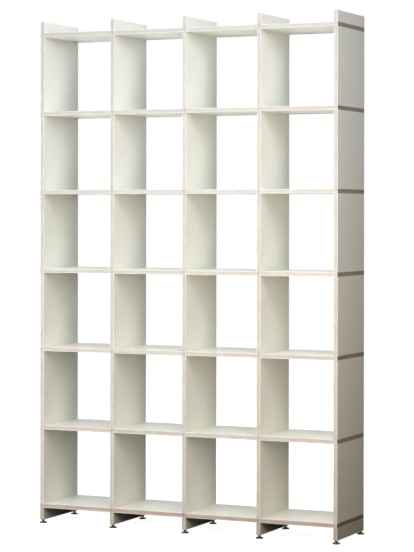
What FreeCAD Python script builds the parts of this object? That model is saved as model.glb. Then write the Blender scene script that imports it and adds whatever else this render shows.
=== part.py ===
"""A tall open shelving unit of white-faced plywood, built up from loose boards that plug together.

Four bays stand side by side and six rows stand on each other. Every bay has its own shelf board at
every level. Two neighbouring boards meet over the middle of an inner upright, and at the two ends of the
unit a board runs on to the outer face. The uprights are stacks of panels, one to a row, so a board's end
always lies between two panels. Short panels close each stack, under the lowest board and over the highest.

Steel pins inside the boards hold the stack together: a cross with four arms where four boards meet, and a
straight pin at the two outer uprights. The boards of one level are plugged together first and then laid on
the uprights as one strip. Each lowest panel stands on two levelling feet, whose studs turn in threaded
inserts.

Lengths are in millimetres. X runs along the front from left to right, Y from front to back and Z up. The
origin is on the floor, under the middle of the unit.
"""

import FreeCAD, Part
import os

import Sketcher

OUTPUT_FOLDER = "parts"

# Driving dimensions, each with its name in the sheet, its value and what it measures
DIMENSIONS = [
    ("bay_count", 4, "bays side by side"),
    ("row_count", 6, "rows of compartments"),
    ("bay_pitch", 360, "middle of one upright to the middle of the next"),
    ("row_pitch", 360, "underside of one shelf board to the underside of the next"),
    ("unit_depth", 330, "front edges to back edges"),
    ("board_thickness", 19, "plywood core and both white faces"),
    ("base_panel_height", 55, "short panels at the foot of an upright"),
    ("head_panel_height", 50, "short panels at the head of an upright"),
    ("edge_chamfer", 0.8, "along the long edges of every board"),
    ("seam_gap", 0.4, "between two shelf boards that meet on an upright"),
    ("pin_diameter", 8, "joining pins and all arms of the crosses"),
    ("pin_fit", 0.1, "all round a pin in its bore"),
    ("pin_setback", 60, "front and back edges to the middle of the nearest pin"),
    ("pin_reach", 20, "how far a pin stands into a panel"),
    ("arm_reach", 28, "middle of a cross to the tip of its level arm"),
    ("pin_bevel", 1, "at the tips of the pins"),
    ("bore_spare", 1, "bore left empty past a tip"),
    ("foot_setback", 14, "front and back edges to the middle of the nearest foot"),
    ("foot_travel", 12, "how far a foot can be screwed out"),
    ("thread_diameter", 8, "stud of a levelling foot"),
    ("thread_fit", 0.05, "all round a stud in its insert"),
    ("stud_bevel", 1.2, "at the tip of a stud"),
    ("stud_passage", 0.5, "all round a stud in the plain bore above its insert"),
    ("insert_wall", 2, "threaded insert, thread to outside"),
    ("insert_length", 16, "threaded insert with its flange"),
    ("insert_fit", 0.05, "all round an insert in its bore"),
    ("flange_lip", 1, "how far the flange stands out round an insert"),
    ("flange_thickness", 1.5, "flange of an insert"),
    ("seat_gap", 0.1, "running gap under a collar, a shoulder or a rivet head"),
    ("collar_width", 13, "hexagonal collar across its flats"),
    ("collar_height", 6, "hexagonal collar"),
    ("shoulder_lip", 2.5, "how far the shoulder on a pad stands out round the rivet shank"),
    ("shoulder_height", 2, "top of a pad to the collar"),
    ("shank_diameter", 6, "rivet shank that runs through a pad"),
    ("rivet_lip", 2.5, "how far the rivet head stands out round its shank"),
    ("rivet_thickness", 1.5, "rivet head"),
    ("rivet_clearance", 0.6, "all round the rivet head at the top of the recess"),
    ("pad_diameter", 35, "foot pad at its rim"),
    ("pad_height", 8, "foot pad"),
    ("pad_rim_height", 2.2, "upright edge of the pad"),
    ("pad_crown_margin", 2, "flat top of the pad, left showing round the shoulder"),
    ("pad_ring_width", 3, "ring of the pad that stands on the floor"),
    ("pad_recess_depth", 4, "hollow underside"),
]

# Lengths that follow from the driving dimensions
HALF_DEPTH = "Sizes.unit_depth / 2"
HALF_THICKNESS = "Sizes.board_thickness / 2"
PIN_LINE = "(Sizes.unit_depth / 2 - Sizes.pin_setback)"
PIN_BORE_RADIUS = "(Sizes.pin_diameter / 2 + Sizes.pin_fit)"
PIN_BORE_DEPTH = "(Sizes.pin_reach + Sizes.bore_spare)"
ARM_BORE_DEPTH = "(Sizes.arm_reach + Sizes.bore_spare)"
PANEL_HEIGHT = "(Sizes.row_pitch - Sizes.board_thickness)"
FOOT_LINE = "(Sizes.unit_depth / 2 - Sizes.foot_setback)"
COLLAR_BOTTOM = "(Sizes.pad_height + Sizes.shoulder_height)"
COLLAR_TOP = f"({COLLAR_BOTTOM} + Sizes.collar_height)"
FOOT_HEIGHT = f"({COLLAR_TOP} + Sizes.seat_gap)"
LOWEST_BOARD = f"({FOOT_HEIGHT} + Sizes.base_panel_height)"
HIGHEST_BOARD = f"({LOWEST_BOARD} + Sizes.row_count * Sizes.row_pitch)"
LEFT_UPRIGHT = "(-Sizes.bay_count * Sizes.bay_pitch / 2)"
THREAD_RADIUS = "Sizes.thread_diameter / 2"
THREAD_BORE_RADIUS = f"({THREAD_RADIUS} + Sizes.thread_fit)"
INSERT_RADIUS = f"({THREAD_RADIUS} + Sizes.insert_wall)"
FLANGE_RADIUS = f"({INSERT_RADIUS} + Sizes.flange_lip)"
STUD_LENGTH = "(Sizes.insert_length + Sizes.foot_travel)"
SHANK_RADIUS = "Sizes.shank_diameter / 2"
RIVET_RADIUS = f"({SHANK_RADIUS} + Sizes.rivet_lip)"
RIVET_TOP = "(Sizes.pad_recess_depth - Sizes.seat_gap)"
SHOULDER_RADIUS = f"({SHANK_RADIUS} + Sizes.shoulder_lip)"
PAD_RADIUS = "Sizes.pad_diameter / 2"
CROWN_RADIUS = f"({SHOULDER_RADIUS} + Sizes.pad_crown_margin)"

ORIGIN = (-1, 1)
HORIZONTAL_AXIS = -1
VERTICAL_AXIS = -2
START, END, CENTRE = 1, 2, 3
SMALLEST_CUT = 0.001

document = FreeCAD.newDocument("ShelvingUnit")
sizes = document.addObject("Spreadsheet::Sheet", "Sizes")


def fill_sheet():
    """Writes each driving dimension to a row of the sheet: its name, its value and what it measures."""
    for row, (name, value, meaning) in enumerate(DIMENSIONS, start=1):
        sizes.set(f"A{row}", name)
        sizes.set(f"B{row}", str(value))
        sizes.set(f"C{row}", meaning)
        sizes.setAlias(f"B{row}", name)
    document.recompute()


def value_of(expression):
    """The number that an expression of the sheet's names gives."""
    return float(sizes.evalExpression(str(expression)))


def count_of(name):
    """A whole number of copies from the sheet."""
    return int(round(value_of(f"Sizes.{name}")))


def new_body(name, x="0", y="0", z="0"):
    """An empty body whose place follows the sheet."""
    body = document.addObject("PartDesign::Body", name)
    body.Label = name
    for axis, expression in (("x", x), ("y", y), ("z", z)):
        body.setExpression(f"Placement.Base.{axis}", expression)
    return body


def origin_feature(body, role):
    """One of the body's own origin planes or axes."""
    return next(feature for feature in body.Origin.OriginFeatures if feature.Role == role)


def new_sketch(body, name, plane, offset="0"):
    """A sketch on one of the body's origin planes, moved along the plane's normal."""
    sketch = body.newObject("Sketcher::SketchObject", f"{body.Name}_{name}")
    sketch.AttachmentSupport = [(origin_feature(body, plane), "")]
    sketch.MapMode = "FlatFace"
    sketch.setExpression("AttachmentOffset.Base.z", offset)
    return sketch


def hold_point(sketch, geometry, point, x, y, name):
    """Binds both coordinates of a sketch point to expressions."""
    for axis, expression, zero_line in (("X", x, VERTICAL_AXIS), ("Y", y, HORIZONTAL_AXIS)):
        distance = value_of(expression)
        if distance == 0:
            sketch.addConstraint(Sketcher.Constraint("PointOnObject", geometry, point, zero_line))
            continue
        ends = (*ORIGIN, geometry, point) if distance > 0 else (geometry, point, *ORIGIN)
        index = sketch.addConstraint(Sketcher.Constraint(f"Distance{axis}", *ends, abs(distance)))
        sketch.renameConstraint(index, f"{name}_{axis.lower()}")
        sketch.setExpression(f"Constraints[{index}]", expression if distance > 0 else f"-({expression})")


def draw_outline(sketch, corners):
    """A closed outline of straight lines through corners given as pairs of expressions."""
    points = [FreeCAD.Vector(value_of(x), value_of(y), 0) for x, y in corners]
    for number, point in enumerate(points):
        following = points[(number + 1) % len(points)]
        sketch.addGeometry(Part.LineSegment(point, following), False)
    for number, (x, y) in enumerate(corners):
        previous = (number - 1) % len(corners)
        sketch.addConstraint(Sketcher.Constraint("Coincident", previous, END, number, START))
        hold_point(sketch, number, START, x, y, f"corner{number}")


def draw_circles(sketch, centres, radius):
    """Equal circles with their centres at pairs of expressions."""
    for number, (x, y) in enumerate(centres):
        middle = FreeCAD.Vector(value_of(x), value_of(y), 0)
        sketch.addGeometry(Part.Circle(middle, FreeCAD.Vector(0, 0, 1), value_of(radius)), False)
        hold_point(sketch, number, CENTRE, x, y, f"centre{number}")
        index = sketch.addConstraint(Sketcher.Constraint("Radius", number, value_of(radius)))
        sketch.renameConstraint(index, f"radius{number}")
        sketch.setExpression(f"Constraints[{index}]", radius)


def pad(body, sketch, length, both_ways=False):
    """Extrudes a sketch along its normal, or half of the length to each side of it."""
    feature = body.newObject("PartDesign::Pad", f"{sketch.Name}_pad")
    feature.Profile = sketch
    feature.SideType = "Symmetric" if both_ways else "One side"
    feature.setExpression("Length", length)
    document.recompute()
    return feature


def pocket(body, sketch, length=None, upwards=False):
    """Cuts a sketch into the body: against its normal, along it if upwards, right through with no length."""
    volume_before = body.Tip.Shape.Volume
    feature = body.newObject("PartDesign::Pocket", f"{sketch.Name}_pocket")
    feature.Profile = sketch
    if length is None:
        feature.SideType = "Symmetric"
        feature.Type = "ThroughAll"
    else:
        feature.Reversed = upwards
        feature.setExpression("Length", length)
    document.recompute()
    if volume_before - feature.Shape.Volume < SMALLEST_CUT:
        raise RuntimeError(f"{feature.Name} cuts nothing")
    return feature


def revolve(body, sketch):
    """Turns a half section round the sketch's upright axis."""
    feature = body.newObject("PartDesign::Revolution", f"{sketch.Name}_revolution")
    feature.Profile = sketch
    feature.ReferenceAxis = (sketch, ["V_Axis"])
    document.recompute()
    return feature


def bevel_ends(body, size):
    """Bevels the round edges at the tips of the pins that the body holds so far."""
    base = body.Tip
    tips = [
        f"Edge{number}"
        for number, edge in enumerate(base.Shape.Edges, start=1)
        if isinstance(edge.Curve, Part.Circle)
    ]
    feature = body.newObject("PartDesign::Chamfer", f"{body.Name}_bevel")
    feature.Base = (base, tips)
    feature.setExpression("Size", size)
    document.recompute()
    return feature


def repeat(body, *directions):
    """Copies the whole body along one or two axes, each given with a count and the overall distance."""
    pattern = body.newObject("PartDesign::LinearPattern", f"{body.Name}_pattern")
    pattern.TransformMode = "Whole shape"
    for suffix, (axis, count, distance) in zip(("", "2"), directions):
        setattr(pattern, f"Direction{suffix}", (origin_feature(body, axis), [""]))
        pattern.setExpression(f"Length{suffix}", distance)
        setattr(pattern, f"Occurrences{suffix}", count)
    body.Tip = pattern
    document.recompute()
    return pattern


def draw_board_section(sketch, half_width, half_height):
    """The section of a board with its four long edges chamfered, centred on the sketch's origin."""
    width, height, cut = half_width, half_height, "Sizes.edge_chamfer"
    draw_outline(
        sketch,
        [
            (f"{width} - {cut}", f"-({height})"),
            (width, f"-({height} - {cut})"),
            (width, f"{height} - {cut}"),
            (f"{width} - {cut}", height),
            (f"-({width} - {cut})", height),
            (f"-({width})", f"{height} - {cut}"),
            (f"-({width})", f"-({height} - {cut})"),
            (f"-({width} - {cut})", f"-({height})"),
        ],
    )


def pin_places(x="0"):
    """The front and the back pin on one line across the unit."""
    return [(x, f"-{PIN_LINE}"), (x, PIN_LINE)]


def foot_places():
    """The front and the back foot under one upright."""
    return [("0", f"-{FOOT_LINE}"), ("0", FOOT_LINE)]


def shelf_board(level, bay):
    """One shelf board. An inner end stops at a seam, and an outer end runs to the unit's outer face."""
    half_pitch = "Sizes.bay_pitch / 2"
    inner_reach = f"({half_pitch} - Sizes.seam_gap / 2)"
    outer_reach = f"({half_pitch} + {HALF_THICKNESS})"
    open_left = bay > 1
    open_right = bay < count_of("bay_count")
    left_reach = inner_reach if open_left else outer_reach
    right_reach = inner_reach if open_right else outer_reach
    body = new_body(
        f"shelf_{level}_bay_{bay}",
        x=f"{LEFT_UPRIGHT} + {bay - 0.5} * Sizes.bay_pitch",
        z=f"{LOWEST_BOARD} + {level - 1} * Sizes.row_pitch + {HALF_THICKNESS}",
    )
    section = new_sketch(body, "section", "YZ_Plane", f"-{left_reach}")
    draw_board_section(section, HALF_DEPTH, HALF_THICKNESS)
    pad(body, section, f"{left_reach} + {right_reach}")

    pins = new_sketch(body, "pins", "XY_Plane")
    draw_circles(pins, pin_places(f"-{half_pitch}") + pin_places(half_pitch), PIN_BORE_RADIUS)
    pocket(body, pins)

    for side, is_open, place in (("left", open_left, f"-{half_pitch}"), ("right", open_right, half_pitch)):
        if is_open:
            arms = new_sketch(body, f"{side}_arms", "YZ_Plane", place)
            draw_circles(arms, [(y, x) for x, y in pin_places()], PIN_BORE_RADIUS)
            pocket(body, arms, ARM_BORE_DEPTH, upwards=side == "left")
    return body


def panel_blank(body, height, pins_below, pins_above):
    """An upright panel that stands on its body's origin, with blind bores for the pins in its ends."""
    section = new_sketch(body, "section", "XY_Plane")
    draw_board_section(section, HALF_THICKNESS, HALF_DEPTH)
    pad(body, section, height)
    if pins_below:
        below = new_sketch(body, "pins_below", "XY_Plane")
        draw_circles(below, pin_places(), PIN_BORE_RADIUS)
        pocket(body, below, PIN_BORE_DEPTH, upwards=True)
    if pins_above:
        above = new_sketch(body, "pins_above", "XY_Plane", height)
        draw_circles(above, pin_places(), PIN_BORE_RADIUS)
        pocket(body, above, PIN_BORE_DEPTH)


def upright(number):
    """One stack of equal panels, one to a row, with room for a shelf board between each two."""
    body = new_body(
        f"upright_{number}",
        x=f"{LEFT_UPRIGHT} + {number - 1} * Sizes.bay_pitch",
        z=f"{LOWEST_BOARD} + Sizes.board_thickness",
    )
    panel_blank(body, PANEL_HEIGHT, pins_below=True, pins_above=True)
    rows = count_of("row_count")
    repeat(body, ("Z_Axis", rows, f"{rows - 1} * Sizes.row_pitch"))
    return body


def across_uprights():
    """The axis, count and distance that copy a piece from the left upright to all of them."""
    return ("X_Axis", count_of("bay_count") + 1, "Sizes.bay_count * Sizes.bay_pitch")


def head_panels():
    """The short panels over the highest shelf boards, closed at the top."""
    body = new_body("head_panels", x=LEFT_UPRIGHT, z=f"{HIGHEST_BOARD} + Sizes.board_thickness")
    panel_blank(body, "Sizes.head_panel_height", pins_below=True, pins_above=False)
    repeat(body, across_uprights())
    return body


def base_panels():
    """The short panels under the lowest shelf boards, bored from below for the inserts of the feet."""
    body = new_body("base_panels", x=LEFT_UPRIGHT, z=FOOT_HEIGHT)
    panel_blank(body, "Sizes.base_panel_height", pins_below=False, pins_above=True)
    bores = (
        ("stud_bore", f"{THREAD_RADIUS} + Sizes.stud_passage", f"{STUD_LENGTH} + Sizes.bore_spare"),
        ("insert_bore", f"{INSERT_RADIUS} + Sizes.insert_fit", "Sizes.insert_length"),
        ("flange_bore", f"{FLANGE_RADIUS} + Sizes.insert_fit", "Sizes.flange_thickness"),
    )
    for name, radius, depth in bores:
        sketch = new_sketch(body, name, "XY_Plane")
        draw_circles(sketch, foot_places(), radius)
        pocket(body, sketch, depth, upwards=True)
    repeat(body, across_uprights())
    return body


def upright_arm(body):
    """A pin through a shelf board and into the panels above and below, centred on the body's origin."""
    sketch = new_sketch(body, "upright_arm", "XY_Plane")
    draw_circles(sketch, [("0", "0")], "Sizes.pin_diameter / 2")
    pad(body, sketch, "Sizes.board_thickness + 2 * Sizes.pin_reach", both_ways=True)


def repeat_pins(body, uprights, distance):
    """Copies a pin along a row of uprights, to every level, and then from the front to the back."""
    levels = count_of("row_count") + 1
    repeat(body, ("X_Axis", uprights, distance), ("Z_Axis", levels, "Sizes.row_count * Sizes.row_pitch"))
    repeat(body, ("Y_Axis", 2, f"2 * {PIN_LINE}"))


def cross_connectors():
    """The four-armed pins at the inner uprights, where two shelf boards meet between two panels."""
    body = new_body(
        "cross_connectors",
        x=f"{LEFT_UPRIGHT} + Sizes.bay_pitch",
        y=f"-{PIN_LINE}",
        z=f"{LOWEST_BOARD} + {HALF_THICKNESS}",
    )
    upright_arm(body)
    level_arms = new_sketch(body, "level_arms", "YZ_Plane")
    draw_circles(level_arms, [("0", "0")], "Sizes.pin_diameter / 2")
    pad(body, level_arms, "2 * Sizes.arm_reach", both_ways=True)
    bevel_ends(body, "Sizes.pin_bevel")
    inner_uprights = count_of("bay_count") - 1
    repeat_pins(body, inner_uprights, f"{inner_uprights - 1} * Sizes.bay_pitch")
    return body


def end_pins():
    """The straight pins through the shelf boards at the two outer uprights."""
    body = new_body("end_pins", x=LEFT_UPRIGHT, y=f"-{PIN_LINE}", z=f"{LOWEST_BOARD} + {HALF_THICKNESS}")
    upright_arm(body)
    bevel_ends(body, "Sizes.pin_bevel")
    repeat_pins(body, 2, "Sizes.bay_count * Sizes.bay_pitch")
    return body


def foot_inserts():
    """The threaded inserts, with their flanges flush in the undersides of the lowest panels."""
    body = new_body("foot_inserts", x=LEFT_UPRIGHT, y=f"-{FOOT_LINE}", z=FOOT_HEIGHT)
    section = new_sketch(body, "section", "XZ_Plane")
    draw_outline(
        section,
        [
            (THREAD_BORE_RADIUS, "0"),
            (FLANGE_RADIUS, "0"),
            (FLANGE_RADIUS, "Sizes.flange_thickness"),
            (INSERT_RADIUS, "Sizes.flange_thickness"),
            (INSERT_RADIUS, "Sizes.insert_length"),
            (THREAD_BORE_RADIUS, "Sizes.insert_length"),
        ],
    )
    revolve(body, section)
    repeat(body, across_uprights(), ("Y_Axis", 2, f"2 * {FOOT_LINE}"))
    return body


def foot_place(number, end):
    """Where the foot under one end of one upright stands on the floor."""
    return {
        "x": f"{LEFT_UPRIGHT} + {number - 1} * Sizes.bay_pitch",
        "y": f"-{FOOT_LINE}" if end == "front" else FOOT_LINE,
    }


def foot_pad(number, end):
    """A turned pad with a low domed top and a hollow underside, bored for the rivet shank of its stud."""
    body = new_body(f"foot_pad_{number}_{end}", **foot_place(number, end))
    bore = f"{SHANK_RADIUS} + Sizes.seat_gap"
    dome_radius = f"{CROWN_RADIUS} + ({PAD_RADIUS} - {CROWN_RADIUS}) / sqrt(2)"
    dome_height = "Sizes.pad_rim_height + (Sizes.pad_height - Sizes.pad_rim_height) / sqrt(2)"
    section = new_sketch(body, "section", "XZ_Plane")
    draw_outline(
        section,
        [
            (bore, "Sizes.pad_recess_depth"),
            (f"{RIVET_RADIUS} + Sizes.rivet_clearance", "Sizes.pad_recess_depth"),
            (f"{PAD_RADIUS} - Sizes.pad_ring_width", "0"),
            (PAD_RADIUS, "0"),
            (PAD_RADIUS, "Sizes.pad_rim_height"),
            (dome_radius, dome_height),
            (CROWN_RADIUS, "Sizes.pad_height"),
            (bore, "Sizes.pad_height"),
        ],
    )
    revolve(body, section)
    return body


def foot_screw(number, end):
    """A stud with a hexagonal collar. Its lower end is riveted into the pad and turns there."""
    body = new_body(f"foot_screw_{number}_{end}", **foot_place(number, end))
    rivet_bottom = f"{RIVET_TOP} - Sizes.rivet_thickness"
    shoulder_bottom = "Sizes.pad_height + Sizes.seat_gap"
    tip = f"{FOOT_HEIGHT} + {STUD_LENGTH}"
    section = new_sketch(body, "section", "XZ_Plane")
    draw_outline(
        section,
        [
            ("0", rivet_bottom),
            (RIVET_RADIUS, rivet_bottom),
            (RIVET_RADIUS, RIVET_TOP),
            (SHANK_RADIUS, RIVET_TOP),
            (SHANK_RADIUS, shoulder_bottom),
            (SHOULDER_RADIUS, shoulder_bottom),
            (SHOULDER_RADIUS, COLLAR_BOTTOM),
            (THREAD_RADIUS, COLLAR_BOTTOM),
            (THREAD_RADIUS, f"{tip} - Sizes.stud_bevel"),
            (f"{THREAD_RADIUS} - Sizes.stud_bevel", tip),
            ("0", tip),
        ],
    )
    revolve(body, section)

    flat = "Sizes.collar_width / 2"
    corner = "Sizes.collar_width / sqrt(3)"
    collar = new_sketch(body, "collar", "XY_Plane", COLLAR_BOTTOM)
    draw_outline(
        collar,
        [
            (flat, f"-{corner} / 2"),
            (flat, f"{corner} / 2"),
            ("0", corner),
            (f"-{flat}", f"{corner} / 2"),
            (f"-{flat}", f"-{corner} / 2"),
            ("0", f"-{corner}"),
        ],
    )
    pad(body, collar, "Sizes.collar_height")
    return body


def build_all():
    """Every piece or group of equal pieces, in the order in which the unit is put together."""
    bays = range(1, count_of("bay_count") + 1)
    levels = range(1, count_of("row_count") + 2)
    uprights = range(1, count_of("bay_count") + 2)
    pieces = []
    for number in uprights:
        for end in ("front", "back"):
            pieces.append(foot_pad(number, end))
            pieces.append(foot_screw(number, end))
    pieces += [foot_inserts(), base_panels(), cross_connectors(), end_pins()]
    pieces += [shelf_board(level, bay) for level in levels for bay in bays]
    pieces += [upright(number) for number in uprights]
    pieces.append(head_panels())
    return pieces


def check_document():
    """Stops if any feature failed, because a recompute doesn't say so by itself."""
    failed = [o.Name for o in document.Objects if {"Invalid", "Error"} & set(o.State)]
    if failed:
        raise RuntimeError(f"these objects failed: {failed}")


def export(pieces):
    """Writes one STEP file for each piece, once all of them are sound."""
    os.makedirs(OUTPUT_FOLDER, exist_ok=True)
    for piece in pieces:
        if piece.Shape.isNull() or not piece.Shape.isValid() or not piece.Shape.Solids:
            raise RuntimeError(f"{piece.Label} has no sound shape")
    for piece in pieces:
        piece.Shape.exportStep(os.path.join(OUTPUT_FOLDER, f"{piece.Label}.step"))
    solids = sum(len(piece.Shape.Solids) for piece in pieces)
    print(f"{len(pieces)} nodes, {solids} solids")


fill_sheet()
all_pieces = build_all()
document.recompute()
check_document()
export(all_pieces)
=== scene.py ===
import math
import random

import bmesh
import bpy
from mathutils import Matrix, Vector


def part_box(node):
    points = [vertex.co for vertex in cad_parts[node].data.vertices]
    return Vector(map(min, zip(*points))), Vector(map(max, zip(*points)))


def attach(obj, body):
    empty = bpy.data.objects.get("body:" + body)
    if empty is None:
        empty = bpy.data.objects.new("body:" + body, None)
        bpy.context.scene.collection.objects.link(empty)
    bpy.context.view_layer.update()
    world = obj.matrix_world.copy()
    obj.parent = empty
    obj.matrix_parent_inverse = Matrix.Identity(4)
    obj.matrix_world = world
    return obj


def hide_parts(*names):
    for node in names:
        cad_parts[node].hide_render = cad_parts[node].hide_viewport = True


mm = 0.001
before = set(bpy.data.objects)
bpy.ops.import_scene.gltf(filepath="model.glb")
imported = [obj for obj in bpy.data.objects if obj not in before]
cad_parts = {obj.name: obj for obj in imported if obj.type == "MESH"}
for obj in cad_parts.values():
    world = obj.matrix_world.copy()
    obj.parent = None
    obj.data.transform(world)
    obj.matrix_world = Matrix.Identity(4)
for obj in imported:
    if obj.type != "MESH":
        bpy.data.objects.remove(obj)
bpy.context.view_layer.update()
bayCount = sum(name.startswith("shelf_1_bay_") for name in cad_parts)
levelCount = sum(name.startswith("shelf_") and name.endswith("_bay_1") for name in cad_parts)
uprightCount = bayCount + 1
rowCount = levelCount - 1
print("frame loaded:", bayCount, "bays,", levelCount, "levels of boards")


def linear(hexText):
    channels = [int(hexText[i : i + 2], 16) / 255 for i in (1, 3, 5)]
    return (*(c / 12.92 if c <= 0.04045 else ((c + 0.055) / 1.055) ** 2.4 for c in channels), 1.0)


def socket(sockets, key):
    return next(s for s in sockets if key in (s.identifier, s.name))


def addNode(tree, kind, settings=None, links=None):
    node = tree.nodes.new("ShaderNode" + kind)
    for key, value in (settings or {}).items():
        if hasattr(node, key):
            setattr(node, key, value)
        else:
            socket(node.inputs, key).default_value = value
    for key, source in (links or {}).items():
        tree.links.new(source, socket(node.inputs, key))
    return node


def newMaterial(name):
    material = bpy.data.materials.new(name)
    material.use_nodes = True
    tree = material.node_tree
    return material, tree, tree.nodes["Principled BSDF"]


# Melamine paper pressed onto the boards' faces: white, matt, a faint pearl from the press plate.
# The real pearl is 0.3 mm across. It is drawn at 2.5 mm, the finest that shows at this distance.
melamine = {
    "white": ("#edeee7", "#e6e7de"),    # the paper's white is a little uneven
    "dull": ("#dbdfd5", "#cfd2c6"),     # the base panels' white is drawn greyer and without shine: painted shade under the lowest shelf
    "patch": 150,           # width of a patch of one white
    "pearl": 2.5,
    "pearlDepth": 0.02,
    "pearlStrength": 0.6,   # of its bump, up to 1
    "roughness": (0.40, 0.52),
    "specular": {"white": 0.05, "dull": 0.0},
}


def pressedMelamine(name, look, tone):
    material, tree, shader = newMaterial(name)
    place = addNode(tree, "TexCoord").outputs["Object"]
    patches = addNode(
        tree, "TexNoise", {"Scale": 1 / (look["patch"] * mm), "Detail": 3.0}, {"Vector": place}
    ).outputs["Fac"]
    pearl = addNode(
        tree, "TexNoise", {"Scale": 1 / (look["pearl"] * mm), "Detail": 2.0}, {"Vector": place}
    ).outputs["Fac"]
    white = addNode(
        tree,
        "Mix",
        {"data_type": "RGBA", "A_Color": linear(look[tone][0]), "B_Color": linear(look[tone][1])},
        {"Factor_Float": patches},
    )
    matt = addNode(
        tree, "MapRange", {"To Min": look["roughness"][0], "To Max": look["roughness"][1]}, {"Value": pearl}
    )
    bump = addNode(
        tree,
        "Bump",
        {"Strength": look["pearlStrength"], "Distance": look["pearlDepth"] * mm},
        {"Height": pearl},
    )
    shader.inputs["Specular IOR Level"].default_value = look["specular"][tone]
    tree.links.new(socket(white.outputs, "Result_Color"), shader.inputs["Base Color"])
    tree.links.new(matt.outputs["Result"], shader.inputs["Roughness"])
    tree.links.new(bump.outputs["Normal"], shader.inputs["Normal"])
    return material


# Birch plywood sawn at the edge, sanded and oiled. Plies that run along the edge stay pale and show
# fibres. Plies cut across show pores and soak up more oil, and on the unit's two outer sides that
# makes nearly the whole edge brown. Fibres are 0.05 mm wide; they are drawn coarser, so that they show.
# The first and last plies are a clearer veneer. The lowest boards and the base panels get browner,
# darker edges: painted shade of the dim light near the floor.
birchEdges = {
    # name: pale tone, dark tone, what the saw lays open
    "birchFaceVeneer": ("#dcd9d6", "#cdc8c2", "fibres"),
    "birchAlongTheGrain": ("#d0ceca", "#beb7b0", "fibres"),
    "birchAcrossTheGrain": ("#c2bbb4", "#aa9f95", "pores"),
    "outerBirchAlongTheGrain": ("#b5a99e", "#95877a", "fibres"),
    "outerBirchAcrossTheGrain": ("#9e8f82", "#776757", "pores"),
}
# Painted shade near the floor: the same woods, drawn browner and darker.
nearFloorShadeEdges = {
    "nearFloorShadeFaceVeneer": ("#dacfc8", "#c6b8b0", "fibres"),
    "nearFloorShadeAlongTheGrain": ("#c6bab3", "#b0a196", "fibres"),
    "nearFloorShadeAcrossTheGrain": ("#b7a9a0", "#9a897f", "pores"),
    "outerNearFloorShadeAlongTheGrain": ("#8f8175", "#746659", "fibres"),
    "outerNearFloorShadeAcrossTheGrain": ("#7b6c60", "#5a4b3d", "pores"),
}
birchFigure = {
    "fibres": (70, 0.7),    # length and width
    "pores": (2.2, 0.9),
    "roughness": {"fibres": 0.6, "pores": 0.75},
    "roughnessSpread": 0.08,
    "blotch": 55,           # slow change of tone along an edge
    "plyHeight": 1.58,      # every ply has a tone of its own
    "mapLength": 3000,      # length of grain map that each board has for itself
    "mapPieces": 400,
    "plyShare": 0.4,        # of the tone, and the rest is the fibres'
    "blotchShare": 0.35,    # of that mixture again
    "contrast": (0.3, 0.7),
    "depth": 0.05,
    "depthStrength": 0.5,
    "specular": 0.08,       # sawn wood has little shine
}


def oiledBirchEdge(name, look):
    material, tree, shader = newMaterial(name)
    grain = addNode(tree, "UVMap", {"uv_map": "grainMap"}).outputs["UV"]
    pale, dark, opened = look
    length, width = birchFigure[opened]
    stretched = addNode(
        tree, "Mapping", {"Scale": (1 / (length * mm), 1 / (width * mm), 1)}, {"Vector": grain}
    ).outputs["Vector"]
    fibres = addNode(tree, "TexNoise", {"Scale": 1.0, "Detail": 4.0}, {"Vector": stretched}).outputs["Fac"]
    blotches = addNode(
        tree, "TexNoise", {"Scale": 1 / (birchFigure["blotch"] * mm), "Detail": 2.0}, {"Vector": grain}
    ).outputs["Fac"]
    layer = addNode(
        tree,
        "Mapping",
        {"Scale": (1 / (birchFigure["mapLength"] * mm), 1 / (birchFigure["plyHeight"] * mm), 0)},
        {"Vector": grain},
    ).outputs["Vector"]
    ply = addNode(tree, "VectorMath", {"operation": "FLOOR"}, {"Vector": layer}).outputs["Vector"]
    plyTone = addNode(tree, "TexWhiteNoise", {"noise_dimensions": "3D"}, {"Vector": ply}).outputs["Value"]
    both = addNode(
        tree,
        "Mix",
        {"data_type": "FLOAT", "Factor_Float": birchFigure["plyShare"]},
        {"A_Float": fibres, "B_Float": plyTone},
    ).outputs["Result"]
    tone = addNode(
        tree,
        "Mix",
        {"data_type": "FLOAT", "Factor_Float": birchFigure["blotchShare"]},
        {"A_Float": both, "B_Float": blotches},
    ).outputs["Result"]
    weakest, strongest = birchFigure["contrast"]
    spread = addNode(
        tree, "MapRange", {"From Min": weakest, "From Max": strongest}, {"Value": tone}
    ).outputs["Result"]
    wood = addNode(
        tree,
        "Mix",
        {"data_type": "RGBA", "A_Color": linear(pale), "B_Color": linear(dark)},
        {"Factor_Float": spread},
    )
    roughness, roughnessSpread = birchFigure["roughness"][opened], birchFigure["roughnessSpread"]
    sheen = addNode(
        tree,
        "MapRange",
        {"To Min": roughness - roughnessSpread, "To Max": roughness + roughnessSpread},
        {"Value": fibres},
    )
    bump = addNode(
        tree,
        "Bump",
        {"Strength": birchFigure["depthStrength"], "Distance": birchFigure["depth"] * mm},
        {"Height": fibres},
    )
    shader.inputs["Specular IOR Level"].default_value = birchFigure["specular"]
    tree.links.new(socket(wood.outputs, "Result_Color"), shader.inputs["Base Color"])
    tree.links.new(sheen.outputs["Result"], shader.inputs["Roughness"])
    tree.links.new(bump.outputs["Normal"], shader.inputs["Normal"])
    return material


# The feet are steel, turned and polished and chromed: a hard mirror. Its colour is drawn dark, a painted
# reflection of a dark room, though the room round it is pale.
# The pins and crosses are drawn steel, dull and grey. The inserts are zinc plated: pale blue-grey, clouded.
metals = {
    # grain is the width of the clouds in the finish
    "chromeWithPaintedDarkReflection": {"pale": "#545352", "dark": "#444342", "roughness": (0.06, 0.14), "grain": 3.0},
    "drawnSteel": {"pale": "#b4b3b0", "dark": "#8f8e8b", "roughness": (0.28, 0.42), "grain": 1.5},
    "zincPlatedSteel": {"pale": "#c9ccd0", "dark": "#a9adb3", "roughness": (0.32, 0.5), "grain": 4.0},
}


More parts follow.
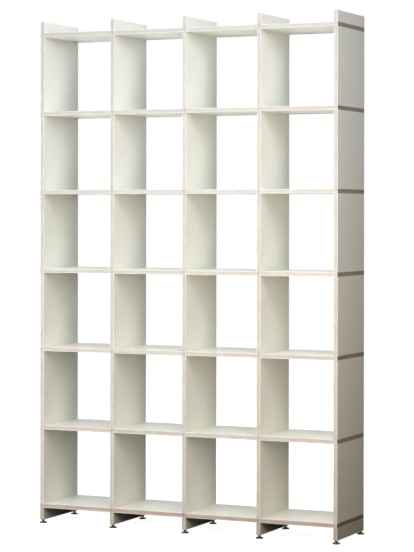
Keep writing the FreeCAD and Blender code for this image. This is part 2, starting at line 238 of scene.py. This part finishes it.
def finishedSteel(name, look):
    material, tree, shader = newMaterial(name)
    place = addNode(tree, "TexCoord").outputs["Object"]
    cloud = addNode(
        tree, "TexNoise", {"Scale": 1 / (look["grain"] * mm), "Detail": 3.0}, {"Vector": place}
    ).outputs["Fac"]
    metal = addNode(
        tree,
        "Mix",
        {"data_type": "RGBA", "A_Color": linear(look["pale"]), "B_Color": linear(look["dark"])},
        {"Factor_Float": cloud},
    )
    gloss = addNode(
        tree, "MapRange", {"To Min": look["roughness"][0], "To Max": look["roughness"][1]}, {"Value": cloud}
    )
    tree.links.new(socket(metal.outputs, "Result_Color"), shader.inputs["Base Color"])
    tree.links.new(gloss.outputs["Result"], shader.inputs["Roughness"])
    shader.inputs["Metallic"].default_value = 1.0
    return material


whiteFaces = pressedMelamine("whiteMelamine", melamine, "white")
paintedShadeFaces = pressedMelamine("paintedShadeMelamine", melamine, "dull")
birch = [oiledBirchEdge(name, look) for name, look in birchEdges.items()]
nearFloorShadeBirch = [oiledBirchEdge(name, look) for name, look in nearFloorShadeEdges.items()]
steels = {name: finishedSteel(name, look) for name, look in metals.items()}
print("materials made:", len(bpy.data.materials))

# Boards

board = {
    "skin": 0.8,            # melamine on each face
    "easing": 0.4,          # its sharp edge is rubbed off
    "easingAngles": (0, 30, 60, 90),
    "plies": 11,            # the real board has 13
    "relief": 0.06,         # plies cut across their grain stand back a little
    "corner": 1.0,          # the board's own corners are eased too, and painted shade of the seams between boards darkens them
    "cornerSteps": 3,
}
# A board's materials are its faces' and the five of birchEdges, in their order. A ply cut across comes
# one after the ply along, and the outer pair two after the inner pair. Corners take the outer ends'
# brown as painted shade of the seams between boards.
veneerIndex, alongIndex, outerShift, seamShadeIndex = 1, 2, 2, 5
random.seed(7)              # every run gives each board the same piece of the grain


def boardRings(thickness):
    # Each ring is its height across the board, its inset, and the ply that starts there, or None.
    eased = []
    easing, skin = board["easing"] * mm, board["skin"] * mm
    for angle in board["easingAngles"]:
        turn = math.radians(angle)
        eased.append((easing * (1 - math.cos(turn)), easing * (1 - math.sin(turn))))
    plyHeight = (thickness - 2 * skin) / board["plies"]
    rings = [(height, inset, None) for height, inset in eased]
    for ply in range(board["plies"]):
        rings.append((skin + ply * plyHeight, 0, ply))
        rings.append((skin + (ply + 1) * plyHeight, 0, ply))
    return rings + [(thickness - height, inset, None) for height, inset in reversed(eased)]


def outline(halfA, halfB, corner):
    points = []
    for quarter, (signA, signB) in enumerate([(1, 1), (-1, 1), (-1, -1), (1, -1)]):
        for step in range(board["cornerSteps"] + 1):
            turn = math.radians(90 * (quarter + step / board["cornerSteps"]))
            points.append((
                signA * (halfA - corner) + corner * math.cos(turn),
                signB * (halfB - corner) + corner * math.sin(turn),
            ))
    return points


def makeBoard(name, low, high, across, grainAxis, wood, outerSides=(), faces=whiteFaces):
    # across is the axis of the thickness. The first, third and further odd plies have their grain along
    # grainAxis, and the plies between them at right angles to it.
    axisA, axisB = [axis for axis in range(3) if axis != across]
    middle = (low + high) / 2
    half = (high - low) / 2
    corner = board["corner"] * mm
    quarterCount = board["cornerSteps"] + 1
    count = 4 * quarterCount
    plain = outline(half[axisA], half[axisB], corner)
    run = [0.0]
    for i in range(count):
        run.append(run[-1] + math.dist(plain[i], plain[(i + 1) % count]))
    mapStart = birchFigure["mapLength"] * mm * random.randrange(1, birchFigure["mapPieces"])
    rings = boardRings(high[across] - low[across])

    mesh = bmesh.new()
    grainMap = mesh.loops.layers.uv.new("grainMap")
    vertices = []
    for height, inset, ply in rings:
        backA = backB = inset
        if ply is not None:
            plyAxis = grainAxis if ply % 2 == 0 else axisA + axisB - grainAxis
            backA = board["relief"] * mm if plyAxis == axisA else 0
            backB = board["relief"] * mm if plyAxis == axisB else 0
        ring = []
        for a, b in outline(half[axisA] - backA, half[axisB] - backB, corner):
            place = [0.0, 0.0, 0.0]
            place[across] = low[across] + height
            place[axisA] = middle[axisA] + a
            place[axisB] = middle[axisB] + b
            ring.append(mesh.verts.new(place))
        vertices.append(ring)

    for lower, upper, here, above in zip(vertices, vertices[1:], rings, rings[1:]):
        for i in range(count):
            j = (i + 1) % count
            face = mesh.faces.new((lower[i], lower[j], upper[j], upper[i]))
            quarter, step = divmod(i, quarterCount)
            facing, sign = [(axisB, 1), (axisA, -1), (axisB, -1), (axisA, 1)][quarter]
            if here[2] is not None:
                plyAxis = grainAxis if here[2] % 2 == 0 else axisA + axisB - grainAxis
                face.material_index = alongIndex + (plyAxis == facing)
                # Corner strips get the darkest brown: painted shade of the seams between boards.
                if step < board["cornerSteps"]:
                    face.material_index = seamShadeIndex
                elif (facing, sign) in outerSides:
                    face.material_index += outerShift
                elif here[2] in (0, board["plies"] - 1):
                    face.material_index = veneerIndex
            corners = [(run[i], here[0]), (run[i + 1], here[0]), (run[i + 1], above[0]), (run[i], above[0])]
            for loop, (u, v) in zip(face.loops, corners):
                loop[grainMap].uv = (mapStart + u, v)
    for ring in (vertices[0], vertices[-1]):
        cap = mesh.faces.new(ring)
        for loop in cap.loops:
            loop[grainMap].uv = (mapStart + loop.vert.co[axisA], loop.vert.co[axisB])
    bmesh.ops.recalc_face_normals(mesh, faces=mesh.faces)
    return finishPiece(name, mesh, [faces, *wood], "frame")


def finishPiece(name, mesh, materials, body):
    data = bpy.data.meshes.new(name)
    mesh.to_mesh(data)
    mesh.free()
    piece = bpy.data.objects.new(name, data)
    bpy.context.collection.objects.link(piece)
    for material in materials:
        data.materials.append(material)
    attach(piece, body)
    return piece


xAxis, zAxis = 0, 2
for level in range(1, levelCount + 1):
    for bay in range(1, bayCount + 1):
        node = f"shelf_{level}_bay_{bay}"
        outer = [(xAxis, -1)] * (bay == 1) + [(xAxis, 1)] * (bay == bayCount)
        # The lowest boards' edges are drawn browner: painted shade near the floor.
        wood = nearFloorShadeBirch if level == 1 else birch
        piece = makeBoard(f"shelfBoard_{level}_{bay}", *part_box(node), zAxis, xAxis, wood, outer)
        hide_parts(node)
print("shelf boards made:", levelCount * bayCount)

for number in range(1, uprightCount + 1):
    low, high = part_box(f"upright_{number}")
    for row in range(1, rowCount + 1):
        low.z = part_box(f"shelf_{row}_bay_1")[1].z
        high.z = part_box(f"shelf_{row + 1}_bay_1")[0].z
        piece = makeBoard(f"uprightPanel_{number}_{row}", low, high, xAxis, zAxis, birch)
        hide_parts(f"upright_{number}")
    for kind in ("head", "base"):
        low.z, high.z = (corner.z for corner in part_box(f"{kind}_panels"))
        # The base panels get painted shade under the lowest shelf: greyer faces and browner edges.
        wood, faces = (nearFloorShadeBirch, paintedShadeFaces) if kind == "base" else (birch, whiteFaces)
        piece = makeBoard(f"{kind}Panel_{number}", low, high, xAxis, zAxis, wood, faces=faces)
        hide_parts(f"{kind}_panels")
print("upright panels made:", uprightCount * (rowCount + 2))

# Feet

foot = {
    "crownRadius": 7.5,     # flat top of the pad
    "rimHeight": 2.2,
    "rimRounding": 0.5,
    "ringWidth": 3.0,       # ring that stands on the floor
    "ringRounding": 0.4,
    "ringBevel": 0.6,
    "recess": 4.0,
    "recessRounding": 2.5,  # between its flat and its slope
    "recessGap": 0.6,       # round the rivet
    "boreBevel": 0.3,
    "shankRadius": 3.0,     # riveted shank in the pad
    "shankGap": 0.1,
    "rivetRadius": 5.5,
    "rivetBottom": 2.4,
    "rivetTop": 3.9,
    "rivetRounding": 0.9,
    "rivetFlat": 1.6,       # its end is flat up to this far inside its radius
    "rivetCrown": 0.1,
    "shoulderRadius": 5.5,
    "shoulderBottom": 8.1,
    "shoulderRounding": 0.3,
    "collarBottom": 10.0,
    "collarTop": 16.0,
    "collarFlats": 13.0,    # the hexagon's width
    "collarChamfer": 30,    # degrees
    "collarFlatEdge": 0.2,  # the chamfer starts this far inside the flats
    "threadRadius": 4.0,
    "threadPlay": 0.03,     # its crest lies this far inside its radius
    "threadDepth": 0.68,
    "threadRunout": 0.25,   # depth below the root at both ends of the thread
    "pitch": 1.25,
    "lead": 1.2,            # bevel at the tip of the stud
    "tipBevel": 0.5,
    "coreGap": 0.24,        # the core lies this far inside the root
    "coreLap": 0.4,         # depth of the core's end in the collar
    "threadLap": 0.2,       # and of the thread's end
    "axisHole": 0.01,       # radius at which a turned end closes
}
turnSteps = 48              # points in a whole turn
collarSteps = 96
threadSteps = 24
domeSteps = 12
weldDistance = 0.02         # points nearer than this are joined


def pointRound(centre, radius, turn, height):
    # Radius and height are in millimetres, and the point is in metres.
    x = centre.x + radius * mm * math.cos(turn)
    y = centre.y + radius * mm * math.sin(turn)
    return x, y, height * mm


def turnedRings(mesh, centre, profile, steps):
    # Spins a closed or open profile of (radius, height) in millimetres round a vertical line.
    rings = []
    for radius, height in profile:
        ring = []
        for step in range(steps):
            turn = 2 * math.pi * step / steps
            ring.append(mesh.verts.new(pointRound(centre, radius, turn, height)))
        rings.append(ring)
    return rings


def bridge(mesh, rings, closed):
    pairs = list(zip(rings, rings[1:])) + ([(rings[-1], rings[0])] if closed else [])
    for lower, upper in pairs:
        for i in range(len(lower)):
            j = (i + 1) % len(lower)
            mesh.faces.new((lower[i], lower[j], upper[j], upper[i]))


def arc(centreRadius, centreHeight, radius, fromAngle, toAngle, steps=4):
    points = []
    for step in range(steps + 1):
        turn = math.radians(fromAngle + (toAngle - fromAngle) * step / steps)
        points.append((centreRadius + radius * math.cos(turn), centreHeight + radius * math.sin(turn)))
    return points


def smoothen(piece, degrees=35):
    piece.data.shade_smooth()
    piece.data.set_sharp_from_angle(angle=math.radians(degrees))


def makePad(number, end):
    node = f"foot_pad_{number}_{end}"
    low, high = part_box(node)
    centre = (low + high) / 2
    rim, top = (high.x - low.x) / 2 / mm, (high.z - low.z) / mm
    bore = foot["shankRadius"] + foot["shankGap"]
    ring = rim - foot["ringWidth"]
    flank = []
    for step in range(domeSteps + 1):   # a low dome between the rim and the crown
        turn = math.radians(90 * step / domeSteps)
        flank.append((
            foot["crownRadius"] + (rim - foot["crownRadius"]) * math.cos(turn),
            foot["rimHeight"] + (top - foot["rimHeight"]) * math.sin(turn),
        ))
    well = foot["rivetRadius"] + foot["recessGap"]
    profile = [
        *arc(rim - foot["rimRounding"], foot["rimRounding"], foot["rimRounding"], -90, 0),
        *flank,
        (bore + foot["boreBevel"], top),
        (bore, top - foot["boreBevel"]),
        (bore, foot["recess"]),
        (well, foot["recess"]),
        *arc(well, foot["recess"] - foot["recessRounding"], foot["recessRounding"], 90, 40),
        (ring, foot["ringBevel"]),
        *arc(ring + foot["ringRounding"], foot["ringRounding"], foot["ringRounding"], 180, 270),
    ]
    mesh = bmesh.new()
    bridge(mesh, turnedRings(mesh, centre, profile, turnSteps), closed=True)
    bmesh.ops.recalc_face_normals(mesh, faces=mesh.faces)
    piece = finishPiece(f"footPad_{number}_{end}", mesh, [steels["chromeWithPaintedDarkReflection"]], node)
    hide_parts(node)
    smoothen(piece)


def addCollar(mesh, centre):
    # A hexagon whose corners are cut back by a shallow cone above and below.
    toFlats = foot["collarFlats"] / 2
    inner = toFlats - foot["collarFlatEdge"]
    slope = math.tan(math.radians(foot["collarChamfer"]))
    sixth = math.pi / 3     # of a whole turn
    rings = []
    for side, height in ((-1, foot["collarBottom"]), (1, foot["collarTop"])):
        face, edge = [], []
        for step in range(collarSteps):
            turn = 2 * math.pi * step / collarSteps
            fromFlat = (turn + sixth / 2) % sixth - sixth / 2
            radius = toFlats / math.cos(fromFlat)
            direction = Vector((math.cos(turn), math.sin(turn), 0))
            edgeHeight = height - side * (radius - inner) * slope
            face.append(mesh.verts.new(centre + direction * inner * mm + Vector((0, 0, height * mm))))
            edge.append(mesh.verts.new(centre + direction * radius * mm + Vector((0, 0, edgeHeight * mm))))
        rings += [face, edge] if side < 0 else [edge, face]
    bridge(mesh, rings, closed=False)
    mesh.faces.new(rings[0])
    mesh.faces.new(rings[-1])


def addThread(mesh, centre, bottom, top):
    # Rows follow the helix, so the last column joins the first one pitch higher up.
    root = foot["threadRadius"] - foot["threadDepth"]
    crest = foot["threadRadius"] - foot["threadPlay"]
    profile = [root, root, crest, crest]
    rowsPerTurn = len(profile)
    rows = rowsPerTurn * (math.ceil((top - bottom) / foot["pitch"]) + 2)
    columns = []
    for step in range(threadSteps):
        turn = 2 * math.pi * step / threadSteps
        column = []
        for row in range(rows):
            height = bottom + foot["pitch"] * ((row + 0.5) / rowsPerTurn + step / threadSteps - 1)
            room = max(min(height - bottom, top - height), 0)
            radius = min(profile[row % rowsPerTurn], root - foot["threadRunout"] + room)
            height = min(max(height, bottom), top)
            column.append(mesh.verts.new(pointRound(centre, radius, turn, height)))
        columns.append(column)
    for step in range(threadSteps):
        last = step == threadSteps - 1
        lift = rowsPerTurn if last else 0
        here, there = columns[step], columns[(step + 1) % threadSteps]
        for row in range(rows - 1 - lift):
            mesh.faces.new((here[row], there[row + lift], there[row + lift + 1], here[row + 1]))


def makeScrew(number, end):
    node = f"foot_screw_{number}_{end}"
    low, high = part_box(node)
    centre = Vector(((low.x + high.x) / 2, (low.y + high.y) / 2, 0))
    tip = high.z / mm
    rounding, axis = foot["shoulderRounding"], foot["axisHole"]
    head = [
        (axis, foot["rivetBottom"]),
        (foot["rivetRadius"] - foot["rivetFlat"], foot["rivetBottom"] + foot["rivetCrown"]),
        *arc(
            foot["rivetRadius"] - foot["rivetRounding"], foot["rivetTop"] - foot["rivetRounding"],
            foot["rivetRounding"], -60, 90,
        ),
        (foot["shankRadius"], foot["rivetTop"]),
        (foot["shankRadius"], foot["shoulderBottom"]),
        *arc(foot["shoulderRadius"] - rounding, foot["shoulderBottom"] + rounding, rounding, -90, 0),
        *arc(foot["shoulderRadius"] - rounding, foot["collarBottom"] - rounding, rounding, 0, 90),
        (axis, foot["collarBottom"]),
    ]
    core = foot["threadRadius"] - foot["threadDepth"] - foot["coreGap"]
    coreBottom = foot["collarTop"] - foot["coreLap"]
    neck = [
        (axis, coreBottom),
        (core, coreBottom),
        (core, tip - foot["tipBevel"]),
        (core - foot["tipBevel"], tip),
        (axis, tip),
    ]
    mesh = bmesh.new()
    bridge(mesh, turnedRings(mesh, centre, head, turnSteps), closed=False)
    addCollar(mesh, centre)
    addThread(mesh, centre, foot["collarTop"] - foot["threadLap"], tip - foot["lead"])
    bridge(mesh, turnedRings(mesh, centre, neck, threadSteps), closed=False)
    bmesh.ops.remove_doubles(mesh, verts=mesh.verts, dist=weldDistance * mm)
    bmesh.ops.recalc_face_normals(mesh, faces=mesh.faces)
    piece = finishPiece(f"footScrew_{number}_{end}", mesh, [steels["chromeWithPaintedDarkReflection"]], node)
    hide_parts(node)
    smoothen(piece)


for number in range(1, uprightCount + 1):
    for end in ("front", "back"):
        makePad(number, end)
        makeScrew(number, end)
print("feet made:", 2 * uprightCount)

# The steel inside the joints is the frame's own.
for node, steel in (
    ("cross_connectors", "drawnSteel"), ("end_pins", "drawnSteel"), ("foot_inserts", "zincPlatedSteel")
):
    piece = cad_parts[node]
    for place in piece.material_slots:
        place.material = steels[steel]

# Studio

studio = {
    "floorSize": 30.0,      # metres
    "glow": (0.93, 1.0),    # the floor is white to the camera, and keeps a faint shadow round the unit
    "glowReach": (1.0, 2.4),     # metres from the middle of the unit
    "floorWhite": "#c8c8c8",
    "floorDark": "#2b2520",
    "backdrop": ("#ffffff", 1.0),
    "ambient": ("#fffaf2", 0.03),
}


def raysToTheEye(tree):
    # 1 for what the camera sees, also in metal and through glass, and 0 for light on its way to the unit.
    path = addNode(tree, "LightPath")
    seen = addNode(tree, "Math", {"operation": "MAXIMUM"}, {
        "Value": path.outputs["Is Camera Ray"], "Value_001": path.outputs["Is Glossy Ray"]
    })
    return addNode(tree, "Math", {"operation": "MAXIMUM"}, {
        "Value": seen.outputs["Value"], "Value_001": path.outputs["Is Transmission Ray"]
    }).outputs["Value"]


def makeFloor():
    half = studio["floorSize"] / 2
    mesh = bpy.data.meshes.new("studioFloor")
    corners = [(-half, -half, 0), (half, -half, 0), (half, half, 0), (-half, half, 0)]
    mesh.from_pydata(corners, [], [(0, 1, 2, 3)])
    floor = bpy.data.objects.new("studioFloor", mesh)
    bpy.context.collection.objects.link(floor)
    material, tree, shader = newMaterial("studioFloor")
    # White to the camera and in the chrome, and dark brown otherwise, so that it throws little light back
    # up at the unit. It is clear from below, so that the underside can be looked at.
    seen = raysToTheEye(tree)
    place = addNode(tree, "TexCoord").outputs["Object"]
    away = addNode(tree, "VectorMath", {"operation": "LENGTH"}, {"Vector": place}).outputs["Value"]
    (near, far), (weak, full) = studio["glowReach"], studio["glow"]
    strength = addNode(
        tree,
        "MapRange",
        {"From Min": near, "From Max": far, "To Min": weak, "To Max": full},
        {"Value": away},
    )
    white = linear(studio["backdrop"][0])
    glow = addNode(tree, "Emission", {"Color": white}, {"Strength": strength.outputs["Result"]})
    paint = addNode(tree, "BsdfDiffuse", {"Color": linear(studio["floorWhite"])})
    paintAndGlow = addNode(tree, "AddShader", links={
        "Shader": glow.outputs["Emission"], "Shader_001": paint.outputs["BSDF"]
    })
    dull = addNode(tree, "BsdfDiffuse", {"Color": linear(studio["floorDark"])})
    upper = addNode(tree, "MixShader", links={
        "Fac": seen, "Shader": dull.outputs["BSDF"], "Shader_001": paintAndGlow.outputs["Shader"]
    })
    clear = addNode(tree, "BsdfTransparent")
    below = addNode(tree, "NewGeometry").outputs["Backfacing"]
    whole = addNode(tree, "MixShader", links={
        "Fac": below, "Shader": upper.outputs["Shader"], "Shader_001": clear.outputs["BSDF"]
    })
    tree.nodes.remove(shader)
    tree.links.new(whole.outputs["Shader"], tree.nodes["Material Output"].inputs["Surface"])
    mesh.materials.append(material)


softboxes = {
    # name: place and target in metres, width and height in metres, watts, spread in degrees, colour
    "frontBox": ((0.6, -2.2, 1.2), (0, 0, 1.0), (1.4, 1.4), 13.9, 180, "#ffffff"),
    "upperFrontBox": ((0.4, -2.4, 2.35), (0, 0, 2.1), (2.6, 1.0), 9.8, 100, "#dfeeff"),
    "lowLeftBox": ((-1.4, -2.6, 0.74), (-0.56, 0, 0.9), (1.3, 1.1), 64, 180, "#fffaf3"),
    "rightBox": ((1.2, -1.3, 1.24), (0.6, 0, 1.15), (0.7, 1.0), 7.2, 180, "#fff6ea"),
    "lowRightBox": ((1.5, -1.3, 0.7), (0.7, 0, 0.4), (0.5, 0.5), 4.8, 180, "#ffd9ab"),
    "highRightBox": ((2.6, -1.9, 3.0), (0, 0, 2.15), (1.2, 1.2), 9.2, 80, "#ffffff"),
    "topBox": ((0, -1.0, 4.8), (0, 0, 1.5), (3.0, 2.0), 64, 180, "#f6f9ff"),
    "backBox": ((0.2, 3.0, 3.9), (0, 0, 1.6), (3.0, 2.0), 46, 180, "#ffffff"),
    "upperBackBox": ((0.1, 3.2, 2.6), (0, 0, 2.15), (1.2, 1.0), 5.6, 80, "#ffffff"),
    "backLeftBox": ((-3.6, 5.0, 1.3), (0, 0, 1.2), (2.4, 2.4), 6, 100, "#ffffff"),
}


def makeSoftbox(name, place, target, size, watts, spread, colour):
    light = bpy.data.lights.new(name, "AREA")
    light.shape = "RECTANGLE"
    light.size, light.size_y = size
    light.energy = watts
    light.spread = math.radians(spread)
    light.color = linear(colour)[:3]
    holder = bpy.data.objects.new(name, light)
    holder.location = place
    holder.rotation_euler = (Vector(target) - Vector(place)).to_track_quat("-Z", "Y").to_euler()
    bpy.context.collection.objects.link(holder)


def makeWorld():
    world = bpy.data.worlds.new("studio")
    bpy.context.scene.world = world
    world.use_nodes = True
    tree = world.node_tree
    tree.nodes.clear()
    seen = raysToTheEye(tree)
    room, backdrop = (
        addNode(tree, "Background", {"Color": linear(colour), "Strength": strength})
        for colour, strength in (studio["ambient"], studio["backdrop"])
    )
    both = addNode(tree, "MixShader", links={
        "Fac": seen, "Shader": room.outputs["Background"], "Shader_001": backdrop.outputs["Background"]
    })
    out = addNode(tree, "OutputWorld", links={"Surface": both.outputs["Shader"]})
    out.is_active_output = True


makeFloor()
makeWorld()
for name, settings in softboxes.items():
    makeSoftbox(name, *settings)
bpy.context.scene.view_settings.view_transform = "Standard"
print("studio made:", len(softboxes), "softboxes")

# Camera, matched to the photograph

camera = {
    "place": (3.86707, -8.39601, 1.42323),      # metres
    "yaw": 24.5244,         # degrees, to the left of straight ahead
    "tilt": 90,             # level
    "roll": -0.0813,
    "lens": 133.35,
    "shift": (0, -0.1132),
}
eye = bpy.data.objects.new("camera", bpy.data.cameras.new("camera"))
eye.location = camera["place"]
eye.rotation_euler = [math.radians(camera[angle]) for angle in ("tilt", "roll", "yaw")]
eye.data.lens = camera["lens"]
eye.data.shift_x, eye.data.shift_y = camera["shift"]
bpy.context.collection.objects.link(eye)
bpy.context.scene.camera = eye
